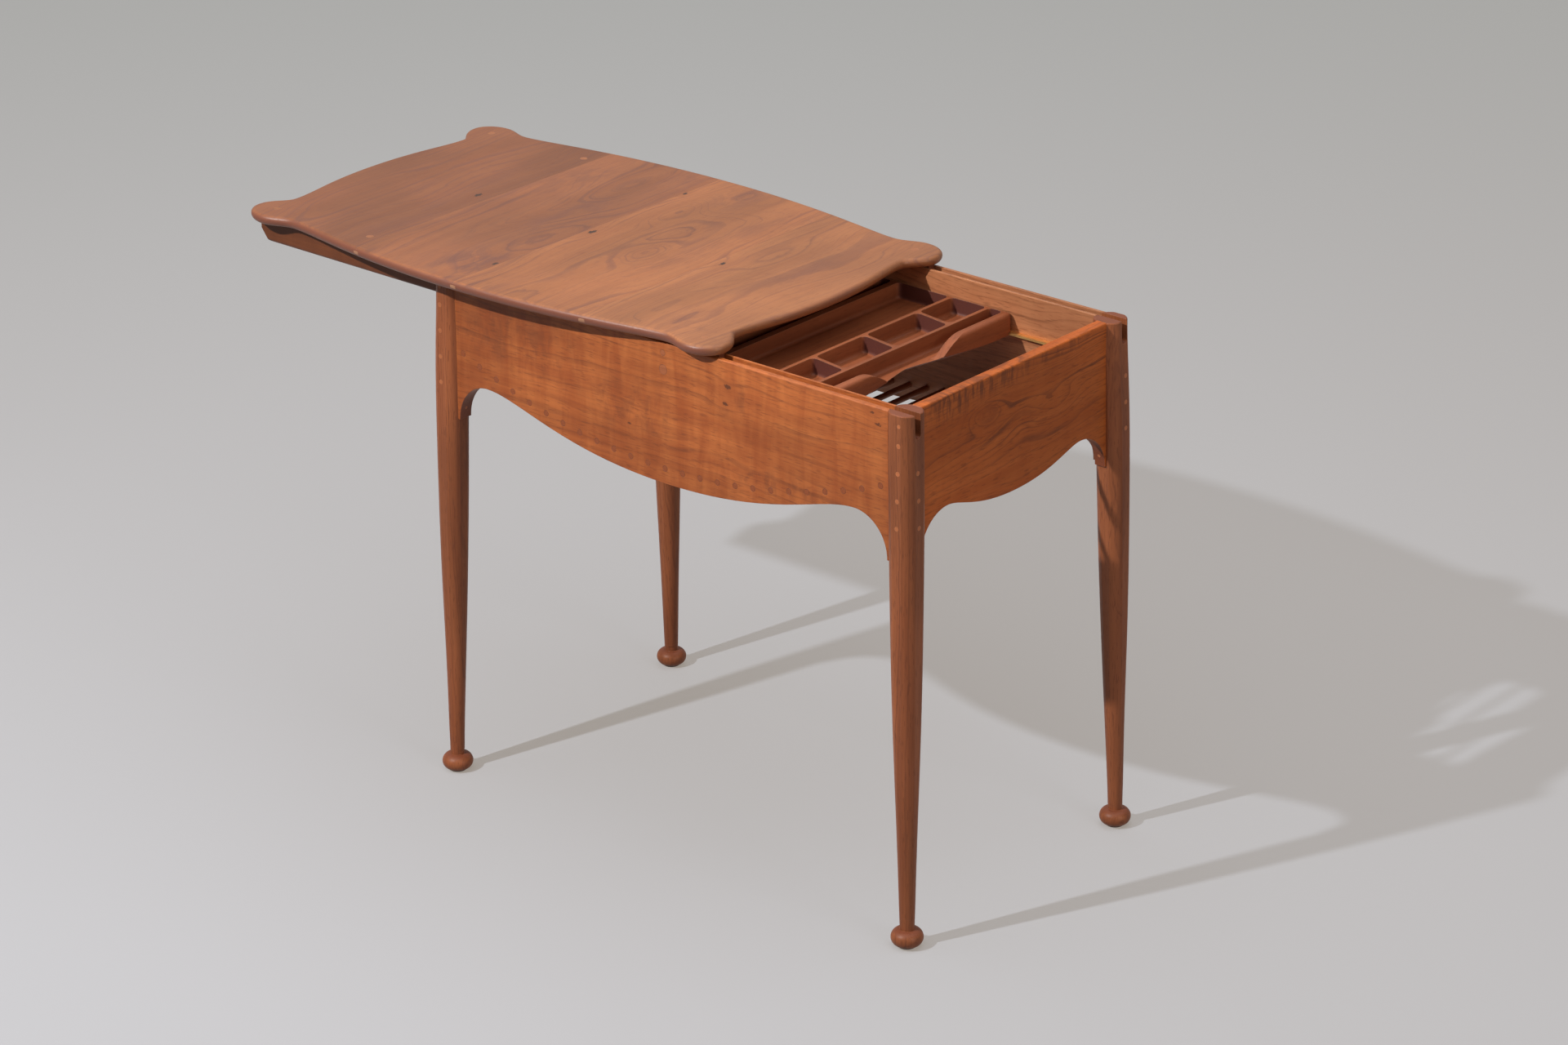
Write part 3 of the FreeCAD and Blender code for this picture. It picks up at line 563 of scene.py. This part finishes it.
# Each board is cut from its own place in the log: along is how far down the log it begins,
# and shade is how much of the pale and deep tints it keeps.
# Knots: centre and size. Nests: centre, length, width and lift.
# Clouds: centre, length, width and strength
BOARDS = {
    "top_board_1": dict(
        shade=(0.60, 0.545, 0.575), along=0.0, Heart_Across=0.47, Smoke_Strength=0.50,
        Spacing=0.0060,
        knots=(((-0.3617, 0.0024, 0.7175), 0.0052),),
        clouds=(((-0.368, -0.120, 0.7175), 0.14, 0.040, 0.35),
                ((-0.395, 0.060, 0.7175), 0.16, 0.030, 0.25))),
    "top_board_2": dict(
        shade=(0.69, 0.635, 0.655), along=1.3, Heart_Across=0.245, Smoke_Strength=0.55,
        Spacing=0.0085,
        knots=(((-0.1593, -0.1748, 0.7175), 0.0040),),
        nests=(((-0.193, -0.084, 0.7175), 0.20, 0.075, 0.050),
               ((-0.222, 0.162, 0.7175), 0.13, 0.055, -0.035)),
        clouds=(((-0.185, -0.190, 0.7175), 0.15, 0.065, 0.85),
                ((-0.213, 0.018, 0.7175), 0.13, 0.042, 0.65),
                ((-0.190, 0.200, 0.7175), 0.09, 0.035, 0.45),
                ((-0.305, 0.130, 0.7175), 0.20, 0.050, 0.40))),
    "top_board_3": dict(
        shade=(0.85, 0.805, 0.78), along=2.9, Heart_Across=0.055, Smoke_Strength=0.50,
        Spacing=0.0085,
        knots=(((-0.1457, -0.0088, 0.7175), 0.0055), ((-0.1532, 0.1798, 0.7175), 0.0034)),
        nests=(((-0.043, -0.022, 0.7175), 0.085, 0.040, 0.030),
               ((-0.062, 0.220, 0.7175), 0.12, 0.075, 0.040),
               ((-0.116, 0.122, 0.7175), 0.10, 0.040, -0.025)),
        clouds=(((-0.112, -0.246, 0.7175), 0.07, 0.032, 0.60),
                ((-0.080, 0.215, 0.7175), 0.10, 0.040, 0.45),
                ((0.010, 0.080, 0.7175), 0.22, 0.030, 0.35))),
    "top_board_4": dict(
        shade=(0.90, 0.88, 0.87), along=4.1, Heart_Across=-0.16, Smoke_Strength=0.32,
        Spacing=0.0085,
        knots=(((0.0645, 0.0071, 0.7175), 0.0046),),
        nests=(((0.110, 0.064, 0.7175), 0.13, 0.045, 0.035),
               ((0.097, -0.131, 0.7175), 0.15, 0.035, -0.025)),
        clouds=(((0.165, 0.030, 0.7175), 0.12, 0.030, 0.30),
                ((0.170, -0.200, 0.7175), 0.09, 0.060, 0.45))),
}


def shaded(tint, shade):
    return colour(*(part * share for part, share in zip(tint, shade)))


def top_wood(board, shade, **look):
    return wood("walnut " + board.replace("_", " "), ALONG_Y, feather=TOP_FEATHER, coat=0.05,
                gloss=0.45, eye=TOP_KNOT_EYE, Pale=shaded(TOP_PALE, shade),
                Deep=shaded(TOP_DEEP, shade), **TOP, **look)


# Aprons: redder and more even, with curl across the grain on the front one
APRON = dict(
    Pale=colour(0.505, 0.148, 0.039),
    Deep=colour(0.375, 0.098, 0.026),
    Line_Strength=0.40,
    Smoke_Strength=0.30,
    Streak_Strength=0.85,
    Pore_Strength=0.38,
    Curl_Strength=0.36,
    # A faint pale arris, partly wear and partly a painted highlight
    ArrisStrength=0.15,
    Spacing=0.009,
    Wander=0.07,
    Heart_Across=0.0,
)
BACK_APRON = dict(APRON, Pale=colour(0.50, 0.205, 0.092), Deep=colour(0.41, 0.155, 0.068),
                  Curl_Strength=0.1, along=3.0)
# The short aprons' strong pale arris is partly wear and partly a painted highlight along their
# edges
SHORT_APRON = dict(APRON, Pale=colour(0.535, 0.134, 0.030), Deep=colour(0.425, 0.094, 0.019),
                   Curl_Strength=0.10, ArrisTint=colour(0.52, 0.30, 0.22), ArrisStrength=0.50,
                   Line_Strength=0.55, Smoke_Strength=0.75, Wander=0.11, Heart_Across=-0.54,
                   Heart_Below=-0.74, gloss=0.12)
FRONT_KNOTS = (((0.2649, -0.213, 0.6672), 0.0042), ((0.2605, -0.213, 0.6439), 0.0034),
               ((0.4999, -0.213, 0.6783), 0.0030), ((0.4912, -0.213, 0.6916), 0.0024),
               ((0.1007, -0.213, 0.5786), 0.0024))
FRONT_CLOUDS = (((-0.090, -0.213, 0.640), 0.150, 0.060, 0.40),
                ((0.105, -0.213, 0.600), 0.120, 0.050, 0.35),
                ((0.262, -0.213, 0.655), 0.050, 0.040, 0.50),
                ((0.330, -0.213, 0.560), 0.130, 0.020, 0.40))
SIDE_NESTS = (((0.540, -0.060, 0.655), 0.060, 0.030, 0.030),
              ((0.540, 0.075, 0.625), 0.080, 0.030, -0.020))
SIDE_CLOUDS = (((0.540, -0.115, 0.690), 0.085, 0.034, 0.80),
               ((0.540, -0.030, 0.692), 0.100, 0.020, 0.65),
               ((0.540, 0.090, 0.694), 0.080, 0.014, 0.45))

# A dark ring along the edge of a rod end or a plug
DARK_RIM = dict(ArrisTint=colour(0.060, 0.020, 0.010), ArrisStrength=0.90, edge=0.0011)

# The smaller pieces
LEGS = dict(Pale=colour(0.320, 0.098, 0.036), Deep=colour(0.215, 0.060, 0.022), Spacing=0.0042,
            Wander=0.02, Line_Strength=0.65, Smoke_Strength=0.40, Streak_Strength=0.9,
            Pore_Strength=0.45, Curl_Strength=0.0, Heart_Below=0.9)
TRAY = dict(Pale=colour(0.325, 0.095, 0.036), Deep=colour(0.215, 0.057, 0.021),
            Cut=colour(0.095, 0.030, 0.025), Heart_Below=-0.5, Spacing=0.008, Line_Strength=0.4,
            Streak_Strength=0.9, Pore_Strength=0.35, Curl_Strength=0.05, edge=0.0014)
RODS = dict(DARK_RIM, Pale=colour(0.30, 0.10, 0.042), Deep=colour(0.19, 0.058, 0.025),
            Cut=colour(0.29, 0.076, 0.026), Smoke=colour(0.17, 0.047, 0.019),
            Streak_Strength=0.9, Curl_Strength=0.0)
# The runners sit under the top: their colour is darkened well below the other walnut, painting the
# shade there
RUNNERS_IN_PAINTED_SHADE = dict(Pale=colour(0.185, 0.055, 0.018), Deep=colour(0.132, 0.036, 0.012))
SPLINES = dict(Pale=colour(0.47, 0.22, 0.11), Deep=colour(0.38, 0.17, 0.08),
               Cut=colour(0.40, 0.19, 0.105), Smoke=colour(0.34, 0.16, 0.085))
PEGS = dict(Pale=colour(0.52, 0.168, 0.062), Deep=colour(0.41, 0.124, 0.044),
            Cut=colour(0.50, 0.155, 0.056), Smoke=colour(0.32, 0.095, 0.036), Curl_Strength=0.0)
PLUGS = dict(DARK_RIM, Pale=colour(0.39, 0.120, 0.046), Deep=colour(0.31, 0.090, 0.034),
             Curl_Strength=0.0)
TOP_PLUGS = dict(TOP, Pale=colour(0.36, 0.130, 0.050), Deep=colour(0.28, 0.098, 0.038), gloss=0.5)


def paint(names, material):
    for name in names:
        mesh = nodes[name].data
        mesh.materials.clear()
        mesh.materials.append(material)


def named(start):
    return [name for name in nodes if name.startswith(start)]


def dress():
    for board, look in BOARDS.items():
        paint([board], top_wood(board, **look))
    paint(["apron_front"], wood("walnut front apron", ALONG_X, FRONT_KNOTS, clouds=FRONT_CLOUDS,
                                feather=FRONT_FEATHER, **APRON))
    paint(["apron_back"], wood("walnut back apron", ALONG_X, **BACK_APRON))
    paint(["apron_right", "apron_left"],
          wood("walnut short aprons", ALONG_Y, nests=SIDE_NESTS, clouds=SIDE_CLOUDS, **SHORT_APRON))
    paint(named("leg_"), wood("walnut legs", ALONG_Z, **LEGS))
    paint(["tray"], wood("walnut tray", ALONG_Y, **TRAY))
    paint(named("rack_rod_"), wood("walnut rods", ALONG_Y, **RODS))
    paint(["runner_front", "runner_back"], wood("walnut runners in painted shade", ALONG_X, **RUNNERS_IN_PAINTED_SHADE))
    paint(named("top_spline_"), wood("pale splines", ALONG_Y, **SPLINES))
    paint(named("pegs_"), wood("walnut pegs", ALONG_X, **PEGS))
    paint(["face_plugs", "stop_pins"], wood("walnut plugs", ALONG_X, **PLUGS))
    paint(["runner_plugs"], wood("walnut top plugs", ALONG_X, **TOP_PLUGS))
    paint(named("tray_rail_"), brushed_brass())
    paint(["runner_screws"], plain_steel())
    paint(named("glide_"), glide_nylon())


FLOOR_HALF = 14.0
FLOOR_COLOUR = colour(0.228, 0.250, 0.292)
FLOOR_GLOW_NEAR = colour(0.300, 0.262, 0.222)
FLOOR_GLOW_FAR = colour(0.310, 0.300, 0.272)

# The glow changes along this direction, between these two distances from the desk
GLOW_DIRECTION = (-0.654, 0.757, 0.0)
GLOW_RANGE = (0.4, 4.4)


# 1 for what the camera sees straight or in a shiny face, 0 for what only lights the scene
def looked_at(tree):
    path = add(tree, "LightPath")
    shiny = sums(tree, "MAXIMUM", path.outputs["Is Glossy Ray"],
                 path.outputs["Is Transmission Ray"])
    return sums(tree, "MAXIMUM", path.outputs["Is Camera Ray"], shiny)


# A pale floor that glows a little, and cooler with distance
def make_floor():
    corners = [(x * FLOOR_HALF, y * FLOOR_HALF, 0.0)
               for x, y in ((-1, -1), (1, -1), (1, 1), (-1, 1))]
    mesh = bpy.data.meshes.new("studio_floor")
    mesh.from_pydata(corners, [], [(0, 1, 2, 3)])
    floor = bpy.data.objects.new("studio_floor", mesh)
    bpy.context.scene.collection.objects.link(floor)
    material = bpy.data.materials.new("pale floor")
    material.use_nodes = True
    tree = material.node_tree
    tree.nodes.clear()
    place = add(tree, "TexCoord")
    away = vector_sums(tree, "DOT_PRODUCT", place.outputs["Object"], GLOW_DIRECTION)
    ramp = add(tree, "ValToRGB")
    stops = [(0.0, FLOOR_GLOW_NEAR), (1.0, FLOOR_GLOW_FAR)]
    for stop, (position, tint) in zip(ramp.color_ramp.elements, stops):
        stop.position = position
        stop.color = tint
    feed(tree, ramp.inputs[0], between(tree, away, *GLOW_RANGE))
    matt = add(tree, "BsdfDiffuse")
    matt.inputs["Color"].default_value = FLOOR_COLOUR
    glow = add(tree, "Emission")
    feed(tree, glow.inputs["Color"], ramp.outputs[0])
    feed(tree, glow.inputs["Strength"], looked_at(tree))
    both = add(tree, "AddShader")
    tree.links.new(matt.outputs[0], both.inputs[0])
    tree.links.new(glow.outputs[0], both.inputs[1])
    output = add(tree, "OutputMaterial")
    tree.links.new(both.outputs[0], output.inputs["Surface"])
    mesh.materials.append(material)


KEY_PLACE = (-0.974, -3.546, 3.516)
KEY_AIM = (0.16, 0.0, 0.5)
KEY_POWER = 204.0
KEY_WIDTH = 0.11
KEY_TINT = (1.0, 0.99, 0.97)
OVERHEAD_PLACE = (0.2, -0.3, 3.5)
OVERHEAD_AIM = (0.2, -0.3, 0.0)
OVERHEAD_POWER = 107.0
OVERHEAD_SPAN = 5.0
OVERHEAD_TINT = (1.0, 1.0, 1.0)
FILL_PLACE = (8.2, -1.2, 3.0)
FILL_POWER = 140.0
FILL_SPAN = 3.0
FILL_TINT = (1.0, 0.98, 0.95)
ROOM_GLOW = colour(0.06, 0.06, 0.06)
BACKDROP = colour(0.47, 0.465, 0.455)


def area_light(name, shape, size, power, place, target, tint):
    data = bpy.data.lights.new(name, "AREA")
    data.shape = shape
    data.size = size
    data.energy = power
    data.color = tint
    lamp = bpy.data.objects.new(name, data)
    bpy.context.scene.collection.objects.link(lamp)
    lamp.location = place
    towards = Vector(target) - Vector(place)
    lamp.rotation_euler = towards.to_track_quat("-Z", "Y").to_euler()


def make_lights():
    area_light("key_light", "DISK", KEY_WIDTH, KEY_POWER, KEY_PLACE, KEY_AIM, KEY_TINT)
    area_light("overhead_softbox", "SQUARE", OVERHEAD_SPAN, OVERHEAD_POWER, OVERHEAD_PLACE,
               OVERHEAD_AIM, OVERHEAD_TINT)
    area_light("side_fill", "SQUARE", FILL_SPAN, FILL_POWER, FILL_PLACE, KEY_AIM, FILL_TINT)
    world = bpy.data.worlds.new("studio")
    world.use_nodes = True
    bpy.context.scene.world = world
    tree = world.node_tree
    tree.nodes.clear()
    back = add(tree, "Background")
    feed(tree, back.inputs["Color"],
         blend_colours(tree, looked_at(tree), ROOM_GLOW, BACKDROP))
    output = add(tree, "OutputWorld")
    tree.links.new(back.outputs[0], output.inputs["Surface"])


# The photo's own view: angles in degrees, lens and sensor in millimetres, place in metres
CAMERA_AZIMUTH = 40.832
CAMERA_ELEVATION = 23.218
CAMERA_ROLL = -0.5933
CAMERA_PLACE = (3.619565, -3.99364, 2.65648)
LENS = 103.2795
SENSOR_WIDTH = 36.0


def make_camera():
    azimuth, elevation, roll = (math.radians(angle) for angle in
                                (CAMERA_AZIMUTH, CAMERA_ELEVATION, CAMERA_ROLL))
    right = Vector((math.cos(azimuth), math.sin(azimuth), 0.0))
    back = Vector((math.sin(azimuth) * math.cos(elevation),
                   -math.cos(azimuth) * math.cos(elevation), math.sin(elevation)))
    up = back.cross(right)
    level = right * math.cos(roll) + up * math.sin(roll)
    upright = up * math.cos(roll) - right * math.sin(roll)
    data = bpy.data.cameras.new("photo_camera")
    data.lens = LENS
    data.sensor_width = SENSOR_WIDTH
    data.sensor_fit = "HORIZONTAL"
    data.clip_start = 0.1
    data.clip_end = 100.0
    camera = bpy.data.objects.new("photo_camera", data)
    bpy.context.scene.collection.objects.link(camera)
    turn = Matrix((level, upright, back)).transposed().to_4x4()
    camera.matrix_world = Matrix.Translation(CAMERA_PLACE) @ turn
    bpy.context.scene.camera = camera


dress()
make_floor()
make_lights()
make_camera()
bpy.context.scene.view_settings.view_transform = "Standard"
